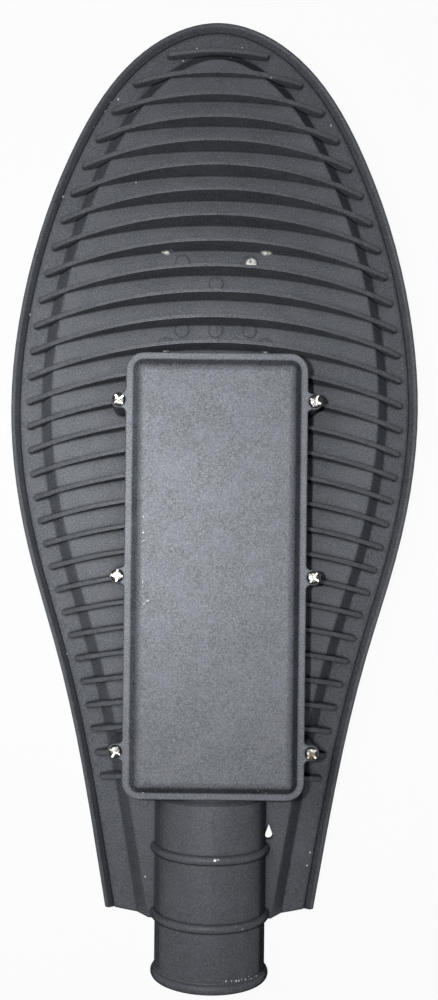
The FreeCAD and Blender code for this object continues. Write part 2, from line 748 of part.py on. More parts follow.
def earth_lug():
    """Ring terminal with a crimp barrel, on the earth boss."""
    low = PLATEAU_Z + EARTH_BOSS
    ring = disc(EARTH_X, EARTH_Y, low, low + EARTH_LUG, EARTH_LUG_R)
    y0 = EARTH_Y + FOOT_BOSS_R + CUT
    neck = block(EARTH_X - EARTH_CRIMP_R, EARTH_X + EARTH_CRIMP_R, EARTH_Y, y0 + CUT,
                 low, low + EARTH_LUG)
    axis_z = low + EARTH_LUG / 2
    barrel = Part.makeCylinder(EARTH_CRIMP_R, EARTH_CRIMP, V(EARTH_X, y0, axis_z), ALONG)
    bore = Part.makeCylinder(EARTH_WIRE_R, EARTH_CRIMP, V(EARTH_X, y0 + CUT, axis_z), ALONG)
    hole = disc(EARTH_X, EARTH_Y, low - CUT, low + EARTH_LUG + CUT, M4[0] + HOLE_FIT)
    return ring.fuse([neck, barrel]).cut([bore, hole])


def earth_screw():
    seat = PLATEAU_Z + EARTH_BOSS + EARTH_LUG
    return screws(M4, EARTH_LUG + EARTH_SCREW_BITE, [(EARTH_X, EARTH_Y)], seat)


def cable_grommet():
    """Soft plug in the wall between socket and box, with a thin dimple to pierce for the cable."""
    y0, y1 = SOCKET_DEPTH, box_inner_y(-1)
    neck = tube_along_y(y0, y1, ENTRY_R, ENTRY_Z)
    flanges = [tube_along_y(y0, y0 + GROMMET_FLANGE, GROMMET_FLANGE_R, ENTRY_Z),
               tube_along_y(y1, y1 + GROMMET_FLANGE, GROMMET_FLANGE_R, ENTRY_Z)]
    dimple = tube_along_y(y0 - CUT, y1 + GROMMET_FLANGE - GROMMET_SKIN, GROMMET_DIMPLE_R, ENTRY_Z)
    return neck.fuse(flanges).cut(dimple)


def clamp_screws():
    """Hexagon-socket set screws under the pole socket, their points just short of the bore."""
    group = []
    for y in band_places():
        top = -SOCKET_BORE_R - HOLE_FIT
        screw = disc(0, y, top, top - CLAMP_LENGTH, CLAMP_R)
        key = Part.Face(Part.makePolygon([
            V(CLAMP_KEY / math.sqrt(3) * math.cos(math.radians(60 * k)),
              y + CLAMP_KEY / math.sqrt(3) * math.sin(math.radians(60 * k)),
              top - CLAMP_LENGTH) for k in range(7)]))
        group.append(screw.cut(key.extrude(V(0, 0, CLAMP_LENGTH * 0.6))))
    return Part.makeCompound(group)


def cob_sheet(z0, z1):
    """Square plate with round corners and four screw holes, at the lamp's centre."""
    sheet = rounded_block(0, LAMP_Y, COB_SIZE, COB_SIZE, COB_CORNER_R, z0, z1)
    return sheet.cut([disc(x, y, min(z0, z1) - CUT, max(z0, z1) + CUT, M3[0] + HOLE_FIT)
                      for x, y in corners(COB_HOLE_X, COB_HOLE_Y)])


def thermal_pad():
    return cob_sheet(CHAMBER_FLOOR_Z - PAD, CHAMBER_FLOOR_Z)


def cob_plate():
    return cob_sheet(cob_face_z(), CHAMBER_FLOOR_Z - PAD)


def cob_light():
    """Round field of the light source."""
    return disc(0, LAMP_Y, cob_face_z(), cob_face_z() - COB_LIGHT, COB_LIGHT_R)


def cob_screws():
    places = corners(COB_HOLE_X, COB_HOLE_Y)
    return screws(M3, COB_PLATE + PAD + COB_SCREW_BITE, places, cob_face_z(), below=True)


def reflector():
    """Bright cone that stands on the light source's plate and ends under the lens."""
    base, mouth = cob_face_z(), lens_face_z()
    wall = REFLECTOR_WALL * 1.6
    rise = REFLECTOR_WALL / (base - mouth) * (REFLECTOR_MOUTH_R - REFLECTOR_BASE_R)
    return turned([
        (REFLECTOR_BASE_R, base),
        (REFLECTOR_BASE_R + wall, base),
        (REFLECTOR_MOUTH_R + wall - rise, mouth + REFLECTOR_WALL),
        (REFLECTOR_FLANGE_R, mouth + REFLECTOR_WALL),
        (REFLECTOR_FLANGE_R, mouth),
        (REFLECTOR_MOUTH_R, mouth),
    ], 0, LAMP_Y)


def lens_seal():
    outer = disc(0, LAMP_Y, LENS_STEP_Z, lens_face_z(), LENS_SEAT_R - HOLE_FIT)
    inner = disc(0, LAMP_Y, LENS_STEP_Z + CUT, lens_face_z() - CUT, REFLECTOR_FLANGE_R + CUT)
    return outer.cut(inner)


def lens():
    """Glass lens: a flat flange and a dome that faces the road."""
    flange = disc(0, LAMP_Y, lens_face_z(), CHAMBER_Z, LENS_FLANGE_R)
    ball_r = (LENS_DOME_R ** 2 + LENS_DOME ** 2) / (2 * LENS_DOME)
    centre = V(0, LAMP_Y, CHAMBER_Z - LENS_DOME + ball_r)
    ball = Part.makeSphere(ball_r, centre)
    return flange.fuse(ball.common(disc(0, LAMP_Y, CHAMBER_Z, CHAMBER_Z - LENS_DOME - CUT, ball_r)))


def lens_ring():
    """Flat ring with broken edges that holds the lens, with four screw holes."""
    low, edge = ring_face_z(), RING_PLATE * 0.35
    ring = turned([
        (RING_BORE_R, CHAMBER_Z),
        (RING_R, CHAMBER_Z),
        (RING_R, low + edge),
        (RING_R - edge, low),
        (RING_BORE_R + edge, low),
        (RING_BORE_R, low + edge),
    ], 0, LAMP_Y)
    return ring.cut([disc(x, y, low - CUT, CHAMBER_Z + CUT, M4[0] + HOLE_FIT)
                     for x, y in corners(RING_HOLE_X, RING_HOLE_Y)])


def ring_screws():
    places = corners(RING_HOLE_X, RING_HOLE_Y)
    return screws(M4, RING_PLATE + RING_SCREW_BITE, places, ring_face_z(), below=True)


PIECES = (
    housing,
    driver_cover,
    cover_screws,
    driver_case,
    driver_potting,
    driver_caps,
    driver_screws,
    terminal_block,
    terminal_bars,
    terminal_screws,
    terminal_fixing_screws,
    earth_lug,
    earth_screw,
    cable_grommet,
    clamp_screws,
    thermal_pad,
    cob_plate,
    cob_light,
    cob_screws,
    reflector,
    lens_seal,
    lens,
    lens_ring,
    ring_screws,
)


def main():
    os.makedirs("parts", exist_ok=True)
    for piece in PIECES:
        piece().exportStep("parts/" + piece.__name__ + ".step")
    seal_ring().exportStep("parts/cover_seal.step")


main()
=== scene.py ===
import json
import math

import bmesh
import bpy
from mathutils import Matrix, Vector


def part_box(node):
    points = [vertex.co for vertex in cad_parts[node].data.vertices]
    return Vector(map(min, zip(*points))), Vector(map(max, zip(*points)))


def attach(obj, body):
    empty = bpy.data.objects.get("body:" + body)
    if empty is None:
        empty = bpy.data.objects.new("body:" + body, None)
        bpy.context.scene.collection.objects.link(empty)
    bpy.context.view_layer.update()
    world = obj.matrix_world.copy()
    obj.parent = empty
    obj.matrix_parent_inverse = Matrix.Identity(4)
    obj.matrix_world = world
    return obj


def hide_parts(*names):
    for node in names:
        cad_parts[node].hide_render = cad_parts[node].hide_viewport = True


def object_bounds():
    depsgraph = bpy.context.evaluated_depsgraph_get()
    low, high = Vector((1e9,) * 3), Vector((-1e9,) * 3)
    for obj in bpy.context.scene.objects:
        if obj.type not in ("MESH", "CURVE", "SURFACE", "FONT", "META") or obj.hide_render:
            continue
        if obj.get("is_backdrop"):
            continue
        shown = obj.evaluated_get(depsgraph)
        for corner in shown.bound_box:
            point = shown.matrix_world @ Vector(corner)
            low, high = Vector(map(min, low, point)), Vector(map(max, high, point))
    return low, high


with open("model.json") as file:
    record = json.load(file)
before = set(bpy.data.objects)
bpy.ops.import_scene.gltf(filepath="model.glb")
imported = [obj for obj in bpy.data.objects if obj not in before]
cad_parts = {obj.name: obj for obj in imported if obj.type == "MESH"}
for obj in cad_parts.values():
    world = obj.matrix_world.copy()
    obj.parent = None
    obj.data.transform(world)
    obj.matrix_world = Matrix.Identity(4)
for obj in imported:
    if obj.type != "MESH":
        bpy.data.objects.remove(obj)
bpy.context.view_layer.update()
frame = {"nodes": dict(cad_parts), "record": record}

SLOTS = {part["node"]: part["material_slot"] for part in frame["record"]["subparts"]}
MM = 0.001

# Where the photograph was taken from, in metres: above the finned back, a little left of the middle.
# Sensor and lens are in millimetres, and the shift is a share of the frame.
CAMERA_AT = Vector((-0.0187, 0.2289, 0.630))
CAMERA_ROLL = math.radians(0.62)
CAMERA_SENSOR = 36.0
CAMERA_LENS = 41.58
CAMERA_SHIFT = (0.040, 0.055)

# The key light is a small one beside the camera, as the photograph's hard narrow shadows show
KEY_OFFSET = Vector((-0.05, 0.01, 0.0))
KEY_AIM = Vector((-0.06, 0.29, 0.0))
KEY_BEAM = 84.0
KEY_SIZE = 0.018
KEY_POWER = 0.52
SOFT_AT = Vector((-0.27, 0.34, 0.60))
SOFT_SIZE = 0.3
SOFT_POWER = 1.2
FILL_SIDES = ((-1, -0.4), (1, -0.2), (0.3, 1), (-0.2, -1))
FILL_RISE = 0.25
FILL_DISTANCE = 1.6
FILL_SIZE = 1.2
FILL_POWER = 0.01
WORLD_FILL = 0.01
FLOOR_SIZE = 12.0
FLOOR_COLOUR = 0.86
FLOOR_GLOW = 0.95

# M4 pan-head screws in sight, in millimetres
THREAD_R = 2.0
THREAD_PITCH = 0.7
THREAD_DEPTH = 0.17 * THREAD_R
THREAD_TIP = 0.6 * THREAD_R
TIP_SHARE = 0.6
HEAD_R = 3.45
HEAD_H = 2.7
DOME_H = 0.6 * HEAD_H

# Cross recess: its arm and half width in millimetres, and shares of the head's height and of that half width
RECESS_ARM = 0.88 * HEAD_R
RECESS_HALF = 0.22 * HEAD_R
RECESS_FLAT = 0.72
RECESS_FLOOR = 0.56
RECESS_RISE = 0.1
RECESS_FLANK = 0.4

# How each head is turned, in degrees
COVER_TURNS = (-27.0, 45.0, 85.0, -35.0, -50.0, 65.0)
RING_TURNS = (20.0, 70.0, -15.0, 35.0)

# Sets of screws in sight: the node, its rows along the part, the turns, and whether the heads face down
SCREW_SETS = (("cover_screws", 3, COVER_TURNS, False), ("ring_screws", 2, RING_TURNS, True))

# Steps round a screw, over its head and along one turn of its thread
SCREW_SIDES = 96
HEAD_STEPS = 40
TURN_STEPS = 5

# Powder coat: scales of its patterns, in waves per metre
GRAIN_SCALE = 1250.0
MOTTLE_SCALE = 26.0
BLUSH_SCALE = 75.0
FLAKE_SCALE = 1900.0
FLECK_SCALE = 700.0
PATCH_SCALE = 300.0

# Powder coat: how much of each effect there is, as shares, and its tints
MOTTLE_SHARE = 0.2
BLUSH_SHARE = 0.4
BLUSH_TINT = (0.98, 0.88, 0.96)
FLAKE_SHARE = 0.07
FLAKE_TINT = (1.5, 1.5, 1.5)
# Painted highlight on crests that face up, partly real wear: its shares and colour
RUB_AND_HIGHLIGHT_SHARE = 0.3
WORN_AND_LIT_SHARE = 0.7
RUB_AND_HIGHLIGHT_COLOUR = (0.5, 0.52, 0.56)
# Painted shade in narrow seams and deep hollows: its shares and tint
SEAM_SHADE_SHARE = 0.8
HOLLOW_SHADE_SHARE = 0.6
PAINTED_SHADE_TINT = (0.25, 0.25, 0.25)
BARE_COLOUR = (0.6, 0.59, 0.57)
# Painted reflection: a bluish tint on the coat's sheen, in place of bluish surroundings
BLUISH_REFLECTION_TINT = (0.9, 0.96, 1.0)
COAT_ROUGH = 0.5
GRAIN_ROUGH = 0.06
RUB_POLISH = -0.2
WALL_ROUGH = 0.3

# Powder coat: how far its effects reach, in metres, and where the slope and the plateau lie in height
GRAIN_DEPTH = 0.17 * MM
CREST_REACH = 0.4 * MM
SEAM_REACH = 1.2 * MM
OPEN_REACH = 14 * MM
EDGE_ROUND = 0.7 * MM
SLOPE_ROUND = 2.6 * MM
SLOPE_FOOT = (-9.0 * MM, -8.4 * MM)
SLOPE_TOP = (2 * MM, 0.4 * MM)
PLATEAU_BAND = (0.8 * MM, 1.6 * MM)

# How spots and lines waver: the scale in waves per metre, and the reach in metres
CHIP_WAVER = (900.0, 0.7 * MM)
MARK_WAVER = (500.0, 0.9 * MM)
SCRATCH_WAVER = (500.0, 0.8 * MM)
RUST_WAVER = (600.0, 1.2 * MM)
WORN_AND_LIT_WAVER = (40.0, 8 * MM)

# Metals, mouldings and lamp: scales of their patterns in waves per metre, depths of relief in metres
METAL_CLOUD_SCALE = 90.0
METAL_DEPTH = 0.05 * MM
RUST_SHARE = 0.85
RUST_COLOUR = (0.2, 0.12, 0.05)
MOULD_GRAIN_SCALE = 900.0
MOULD_CLOUD_SCALE = 60.0
MOULD_DEPTH = 0.05 * MM
GLASS_WAVE_SCALE = 45.0
GLASS_DEPTH = 0.3 * MM
GLASS_COLOUR = (0.95, 0.985, 0.975)
DIE_SCALE = 520.0
SILICONE_SCALE = 260.0
DIE_COLOUR = (0.93, 0.62, 0.07)
BETWEEN_DIES = (0.9, 0.72, 0.16)

# Base colours of the two coats, the most sheen that they have, and the facings between which it fades out
HOUSING_COAT = {"dark": (0.034, 0.037, 0.044), "light": (0.148, 0.156, 0.175),
                "sheen": 0.46, "full_to": 0.24, "gone_from": 0.62}
COVER_COAT = {"dark": (0.015, 0.017, 0.022), "light": (0.196, 0.208, 0.234),
              "sheen": 0.8, "full_to": 0.14, "gone_from": 0.46}

# Where the photograph shows bare metal: x, y, z and radius in millimetres
HOUSING_CHIPS = (
    (-85.1, 426.6, -9.5, 0.55), (-45.5, 471.8, -3.3, 0.55), (6.9, 502.7, -5.1, 0.4),
    (-11.9, 506.0, -1.2, 0.45), (-59.1, 479.2, -9.5, 0.4), (-55.1, 480.4, -8.4, 0.45),
    (-19.4, 501.6, -7.5, 0.4), (-62.3, 474.2, -9.5, 0.35), (-68.3, 465.1, -8.8, 0.4),
    (62.7, 467.1, -8.3, 0.4), (28.6, 489.1, 1.4, 0.4), (13.1, 509.5, -8.0, 0.35),
    (-102.6, 361.2, -9.5, 0.35), (-44.3, 431.8, 0.0, 0.35), (-80.1, 173.5, -9.5, 0.35),
    (-35.3, 53.3, 0.0, 0.4), (55.5, 65.3, -8.4, 0.45), (53.9, 58.1, -8.4, 0.4),
    (1.6, 71.0, 32.0, 0.7), (3.4, 71.4, 32.0, 0.4), (13.5, 36.0, 29.2, 0.4),
    (16.5, 34.0, 27.5, 0.35), (29.6, 31.0, 5.0, 0.6), (8.2, 7.2, 28.8, 0.45),
    (11.0, 7.0, 27.8, 0.35), (13.4, 6.8, 26.6, 0.55), (15.0, 6.7, 25.8, 0.5),
    (16.6, 6.9, 25.0, 0.35), (18.6, 6.4, 23.4, 0.5), (20.4, 7.4, 22.0, 0.3),
    (21.6, 5.9, 20.8, 0.35), (24.6, 6.0, 17.1, 0.45))
BARE_MARKS = (
    (-27.3, 396.3, 0.5, 3.6), (27.3, 396.3, 0.5, 3.6), (19.0, 388.2, 0.5, 2.7),
    (-27.6, 340.5, 0.5, 1.2), (-26.0, 340.7, 0.5, 0.9), (-29.2, 340.8, 0.5, 0.8),
    (27.3, 340.5, 0.5, 1.2), (28.8, 340.7, 0.5, 0.9), (25.8, 340.8, 0.5, 0.8))
COVER_CHIPS = (
    (-35.9, 106.6, 36.3, 0.45), (27.3, 107.3, 37.2, 0.45), (23.0, 108.7, 39.4, 0.5),
    (25.2, 107.8, 38.2, 0.35), (-37.1, 240.1, 42.0, 0.35))
SCREW_RUST = ((50.6, 127.0, 38.0, 1.5), (50.0, 125.6, 37.6, 1.0))

# Where the crests carry the most painted highlight, partly real wear: x, y, z and radius in millimetres
WORN_AND_LIT_CRESTS = (-5.0, 350.0, 17.0, 38.0)

# Scratches in the cover: start, end and radius in millimetres, and the share of the coat that is gone
COVER_SCRATCHES = (((-37.1, 207.0, 42.0), (-37.0, 256.0, 42.0), 0.4, 0.15),
                   ((-36.6, 203.8, 42.0), (-34.0, 205.6, 42.0), 0.45, 0.35))


def node(tree, kind, inputs=None, **settings):
    """Add a node with its settings, and give its inputs values or links."""
    added = tree.nodes.new(kind)
    for name, value in settings.items():
        setattr(added, name, value)
    for key, value in (inputs or {}).items():
        if isinstance(value, bpy.types.NodeSocket):
            tree.links.new(value, added.inputs[key])
        else:
            added.inputs[key].default_value = value
    return added


def calc(tree, operation, *values):
    return node(tree, "ShaderNodeMath", dict(enumerate(values)), operation=operation).outputs[0]


def vector(tree, operation, inputs, output="Vector"):
    return node(tree, "ShaderNodeVectorMath", inputs, operation=operation).outputs[output]


def object_place(tree):
    return node(tree, "ShaderNodeTexCoord").outputs["Object"]


def object_height(tree):
    return node(tree, "ShaderNodeSeparateXYZ", {0: object_place(tree)}).outputs["Z"]


def facing(tree):
    """0 where a face looks straight at the viewer, towards 1 where it turns away."""
    return node(tree, "ShaderNodeLayerWeight", {"Blend": 0.5}).outputs["Facing"]


def noise(tree, scale, detail=2.0, rough=0.5, seed=0.0):
    """Noise value at a scale in waves per metre; seed moves to another part of the pattern."""
    moved = vector(tree, "ADD", {0: object_place(tree), 1: (seed, seed, seed)})
    inputs = {"Vector": moved, "Scale": scale, "Detail": detail, "Roughness": rough}
    return node(tree, "ShaderNodeTexNoise", inputs).outputs["Fac"]


def spread(tree, value, low, high, to_low=0.0, to_high=1.0):
    """Map a value's range onto another, and keep it inside that."""
    inputs = {"Value": value, "From Min": low, "From Max": high, "To Min": to_low, "To Max": to_high}
    return node(tree, "ShaderNodeMapRange", inputs).outputs[0]


def blend_colour(tree, factor, first, second):
    mix = node(tree, "ShaderNodeMix", {"Factor": factor}, data_type="RGBA")
    ends = [socket for socket in mix.inputs if socket.type == "RGBA"]
    for socket, colour in zip(ends, (first, second)):
        if isinstance(colour, bpy.types.NodeSocket):
            tree.links.new(colour, socket)
        else:
            socket.default_value = (*colour, 1.0)
    return next(socket for socket in mix.outputs if socket.type == "RGBA")


def tinted(colour, tint):
    return tuple(part * share for part, share in zip(colour, tint))


def empty_tree(data):
    """Emptied node tree of a new material or world."""
    data.use_nodes = True
    data.node_tree.nodes.clear()
    return data.node_tree


def new_material(name):
    material = bpy.data.materials.new(name)
    tree = empty_tree(material)
    shader = node(tree, "ShaderNodeBsdfPrincipled")
    node(tree, "ShaderNodeOutputMaterial", {"Surface": shader.outputs[0]})
    return material, tree, shader


def give(shader, tree, **sockets):
    """Set the shader's sockets; an underscore stands for a space in a socket's name."""
    for key, value in sockets.items():
        socket = shader.inputs[key.replace("_", " ")]
        if isinstance(value, bpy.types.NodeSocket):
            tree.links.new(value, socket)
        elif socket.type == "RGBA":
            socket.default_value = (*value, 1.0)
        else:
            socket.default_value = value


def bumped(tree, height, strength, depth, **inputs):
    """Normals of a surface with the height as relief, its depth in metres."""
    inputs.update(Strength=strength, Distance=depth, Height=height)
    return node(tree, "ShaderNodeBump", inputs).outputs[0]


def occlusion(tree, reach, inside=False):
    inputs = {"Distance": reach}
    return node(tree, "ShaderNodeAmbientOcclusion", inputs, samples=4, inside=inside).outputs["AO"]


def near_spots(tree, place, spots, soft=0.35):
    """1 inside any of the spots, which are in millimetres, fading to 0 just outside them."""
    total = 0.0
    for x, y, z, radius in spots:
        away = vector(tree, "DISTANCE", {0: place, 1: (x * MM, y * MM, z * MM)}, "Value")
        inside = spread(tree, away, radius * MM * (1 + soft), radius * MM * (1 - soft))
        total = calc(tree, "MAXIMUM", total, inside)
    return total


def wavered(tree, scale, reach):
    """Object coordinates pushed about by noise, so that spots get uneven outlines."""
    place = object_place(tree)
    inputs = {"Vector": place, "Scale": scale, "Detail": 2.0}
    cloud = node(tree, "ShaderNodeTexNoise", inputs).outputs["Color"]
    middle = vector(tree, "SUBTRACT", {0: cloud, 1: (0.5, 0.5, 0.5)})
    push = vector(tree, "SCALE", {0: middle, "Scale": reach})
    return vector(tree, "ADD", {0: place, 1: push})


def near_line(tree, place, start, end, radius):
    """1 on the line from start to end, fading to 0 at the radius, all three in millimetres."""
    start, end = Vector(start) * MM, Vector(end) * MM
    way = end - start
    offset = vector(tree, "SUBTRACT", {0: place, 1: start})
    along = vector(tree, "DOT_PRODUCT", {0: offset, 1: way / way.length_squared}, "Value")
    foot = vector(tree, "SCALE", {0: way, "Scale": spread(tree, along, 0.0, 1.0)})
    away = vector(tree, "DISTANCE", {0: offset, 1: foot}, "Value")
    return spread(tree, away, radius * MM, 0.3 * radius * MM)


def flakes(tree, scale, share):
    """Small bright grains scattered through a coat."""
    cell = node(tree, "ShaderNodeTexVoronoi", {"Vector": object_place(tree), "Scale": scale})
    draw = node(tree, "ShaderNodeSeparateColor", {0: cell.outputs["Color"]}).outputs[0]
    picked = calc(tree, "GREATER_THAN", draw, 1 - share)
    return calc(tree, "MULTIPLY", picked, spread(tree, cell.outputs["Distance"], 0.6, 0.2))


def coat_colour(tree, grain, dark, light):
    """Fine grain between dark and light, with a faint mottle, warmer patches and bright flakes."""
    mottle = spread(tree, noise(tree, MOTTLE_SCALE, detail=4.0, rough=0.65, seed=3.0), 0.3, 0.7)
    tone = calc(tree, "MULTIPLY", mottle, MOTTLE_SHARE)
    tone = calc(tree, "MULTIPLY_ADD", spread(tree, grain, 0.34, 0.68), 1 - MOTTLE_SHARE, tone)
    colour = blend_colour(tree, tone, dark, light)
    warm = noise(tree, BLUSH_SCALE, detail=3.0, rough=0.6, seed=11.0)
    warm = spread(tree, warm, 0.45, 0.7, 0.0, BLUSH_SHARE)
    colour = blend_colour(tree, warm, colour, tinted(light, BLUSH_TINT))
    return blend_colour(tree, flakes(tree, FLAKE_SCALE, FLAKE_SHARE), colour, tinted(light, FLAKE_TINT))


def rounded_normal(tree):
    """Normals that run round the edges, and wider round the slope from ledge to plateau."""
    height = object_height(tree)
    slope = calc(tree, "MULTIPLY", spread(tree, height, *SLOPE_TOP), spread(tree, height, *SLOPE_FOOT))
    reach = spread(tree, slope, 0.0, 1.0, EDGE_ROUND, SLOPE_ROUND)
    return node(tree, "ShaderNodeBevel", {"Radius": reach}, samples=4).outputs[0]


def crest_share(tree, lean):
    """Mask for the painted crest highlight: 1 along narrow crests and outer edges that face up, 0 on open
    faces and on the plateau.
    """
    upward = spread(tree, lean, 0.93, 0.995)
    edge = spread(tree, occlusion(tree, CREST_REACH, inside=True), 0.94, 0.7)
    off_plateau = spread(tree, calc(tree, "ABSOLUTE", object_height(tree)), *PLATEAU_BAND)
    return calc(tree, "MULTIPLY", calc(tree, "MULTIPLY", upward, edge), off_plateau)


def glint_and_wear_share(tree, grain, lean):
    """How much painted highlight, partly real wear, lies on the crests, most round one spot and on the
    grain's high points.
    """
    worn_and_lit = near_spots(tree, wavered(tree, *WORN_AND_LIT_WAVER), (WORN_AND_LIT_CRESTS,), 0.5)
    worn_and_lit = calc(tree, "MULTIPLY_ADD", worn_and_lit, WORN_AND_LIT_SHARE, RUB_AND_HIGHLIGHT_SHARE)
    share = calc(tree, "MULTIPLY", crest_share(tree, lean), worn_and_lit)
    return calc(tree, "MULTIPLY", share, spread(tree, grain, 0.35, 0.6, 0.3, 1.0))


def painted_shade_share(tree, open_share):
    """How much painted shade darkens deep hollows and narrow seams."""
    hollow = spread(tree, open_share, 0.12, 0.03, 0.0, HOLLOW_SHADE_SHARE)
    seam = calc(tree, "MULTIPLY", spread(tree, occlusion(tree, SEAM_REACH), 0.97, 0.5), SEAM_SHADE_SHARE)
    return calc(tree, "MAXIMUM", hollow, seam)


def bare_share(tree, chips, marks, scratches):
    """1 where the coat is gone: in chips, on ground marks and here and there along scratches."""
    bare = near_spots(tree, wavered(tree, *CHIP_WAVER), chips)
    for start, end, radius, gone in scratches:
        fleck = noise(tree, FLECK_SCALE, detail=2.0, rough=0.7, seed=5.0)
        fleck = spread(tree, fleck, 0.7 - gone, 0.82 - gone, 0.0, 0.8)
        line = near_line(tree, wavered(tree, *SCRATCH_WAVER), start, end, radius)
        bare = calc(tree, "MAXIMUM", bare, calc(tree, "MULTIPLY", line, fleck))
    if marks:
        patch = spread(tree, noise(tree, PATCH_SCALE, detail=3.0, rough=0.6, seed=9.0), 0.34, 0.48)
        ground = near_spots(tree, wavered(tree, *MARK_WAVER), marks, 0.15)
        bare = calc(tree, "MAXIMUM", bare, calc(tree, "MULTIPLY", ground, patch))
    return bare


def powder_coat(name, dark, light, sheen, full_to, gone_from, chips=(), marks=(), scratches=()):
    """Fine-textured powder coat with painted highlight and wear on its upward crests, painted shade in its
    seams and hollows, and chips to metal.
    """
    material, tree, shader = new_material(name)
    grain = noise(tree, GRAIN_SCALE, detail=2.0, rough=0.7)
    colour = coat_colour(tree, grain, dark, light)
    open_share = occlusion(tree, OPEN_REACH)
    normal = rounded_normal(tree)
    lean = vector(tree, "DOT_PRODUCT", {0: normal, 1: (0.0, 0.0, 1.0)}, "Value")
    crest_glint_and_wear = glint_and_wear_share(tree, grain, lean)
    # Painted highlight, partly real wear, lightens the crests that face up
    colour = blend_colour(tree, crest_glint_and_wear, colour, RUB_AND_HIGHLIGHT_COLOUR)
    # Painted shade darkens the coat in deep hollows and narrow seams
    colour = blend_colour(tree, painted_shade_share(tree, open_share), colour, tinted(dark, PAINTED_SHADE_TINT))
    bare = bare_share(tree, chips, marks, scratches)
    colour = blend_colour(tree, bare, colour, BARE_COLOUR)
    sheen = spread(tree, facing(tree), full_to, gone_from, sheen, 0.0)
    sheen = calc(tree, "MULTIPLY", sheen, spread(tree, open_share, 0.1, 0.5, 0.1, 1.0))
    rough = spread(tree, grain, 0.3, 0.7, COAT_ROUGH + GRAIN_ROUGH, COAT_ROUGH - GRAIN_ROUGH)
    rough = calc(tree, "MULTIPLY_ADD", crest_glint_and_wear, RUB_POLISH, rough)
    # Upright walls throw more of the flash straight back, as rough paint does
    wall_rough = spread(tree, lean, 0.4, 0.15, 0.0, WALL_ROUGH)
    # The coat's sheen carries a painted bluish reflection tint
    give(shader, tree, Base_Color=colour, Metallic=bare, Roughness=rough, Diffuse_Roughness=wall_rough,
         Specular_IOR_Level=sheen, Specular_Tint=BLUISH_REFLECTION_TINT,
         Normal=bumped(tree, grain, 0.85, GRAIN_DEPTH, Normal=normal))
    return material


def bright_metal(name, dark, light, rough=(0.22, 0.42), grain_scale=700.0, turned_away_shade=1.0, rust=()):
    """Plated or plain metal with fine uneven brightness, and a painted dark tone where it turns away from
    the viewer, set as a share of its dark colour.
    """
    material, tree, shader = new_material(name)
    patch = noise(tree, grain_scale, detail=4.0, rough=0.6)
    cloud = noise(tree, METAL_CLOUD_SCALE, detail=2.0, seed=7.0)
    tone = spread(tree, calc(tree, "MULTIPLY", patch, cloud), 0.15, 0.4)
    colour = blend_colour(tree, tone, dark, light)
    # Painted shade: the metal darkens where it turns away from the viewer, standing in for dark surroundings
    # it would reflect
    away = spread(tree, facing(tree), 0.02, 0.09)
    colour = blend_colour(tree, away, colour, tinted(dark, (turned_away_shade, turned_away_shade, turned_away_shade)))
    brown = near_spots(tree, wavered(tree, *RUST_WAVER), rust)
    brown = calc(tree, "MULTIPLY", brown, RUST_SHARE)
    colour = blend_colour(tree, brown, colour, RUST_COLOUR)
    give(shader, tree, Base_Color=colour, Metallic=calc(tree, "SUBTRACT", 1.0, brown),
         Roughness=spread(tree, patch, 0.3, 0.7, *rough), Normal=bumped(tree, patch, 0.2, METAL_DEPTH))
    return material


def moulded(name, dark, light, rough=(0.4, 0.6)):
    """Moulded plastic, rubber or silicone with a fine eroded surface."""
    material, tree, shader = new_material(name)
    grain = noise(tree, MOULD_GRAIN_SCALE, detail=3.0)
    cloud = noise(tree, MOULD_CLOUD_SCALE, detail=2.0, seed=5.0)
    tone = calc(tree, "MULTIPLY_ADD", cloud, 0.6, calc(tree, "MULTIPLY", grain, 0.4))
    give(shader, tree, Base_Color=blend_colour(tree, tone, dark, light),
         Roughness=spread(tree, grain, 0.3, 0.7, *rough), Normal=bumped(tree, grain, 0.25, MOULD_DEPTH))
    return material


def lens_glass(name):
    """Clear pressed glass, faintly green in its thickness, with slight waviness."""
    material, tree, shader = new_material(name)
    wave = noise(tree, GLASS_WAVE_SCALE, detail=1.0)
    give(shader, tree, Base_Color=GLASS_COLOUR, Transmission_Weight=1.0, IOR=1.5,
         Roughness=spread(tree, wave, 0.3, 0.7, 0.0, 0.03), Normal=bumped(tree, wave, 0.08, GLASS_DEPTH))
    return material


def phosphor(name):
    """Yellow silicone over rows of small light-emitting dies."""
    material, tree, shader = new_material(name)
    inputs = {"Vector": object_place(tree), "Scale": DIE_SCALE, "Randomness": 0.0}
    cell = node(tree, "ShaderNodeTexVoronoi", inputs)
    dies = spread(tree, cell.outputs["Distance"], 0.25, 0.45)
    cloud = noise(tree, SILICONE_SCALE)
    give(shader, tree, Base_Color=blend_colour(tree, dies, DIE_COLOUR, BETWEEN_DIES),
         Roughness=spread(tree, cloud, 0.3, 0.7, 0.25, 0.4))
    return material


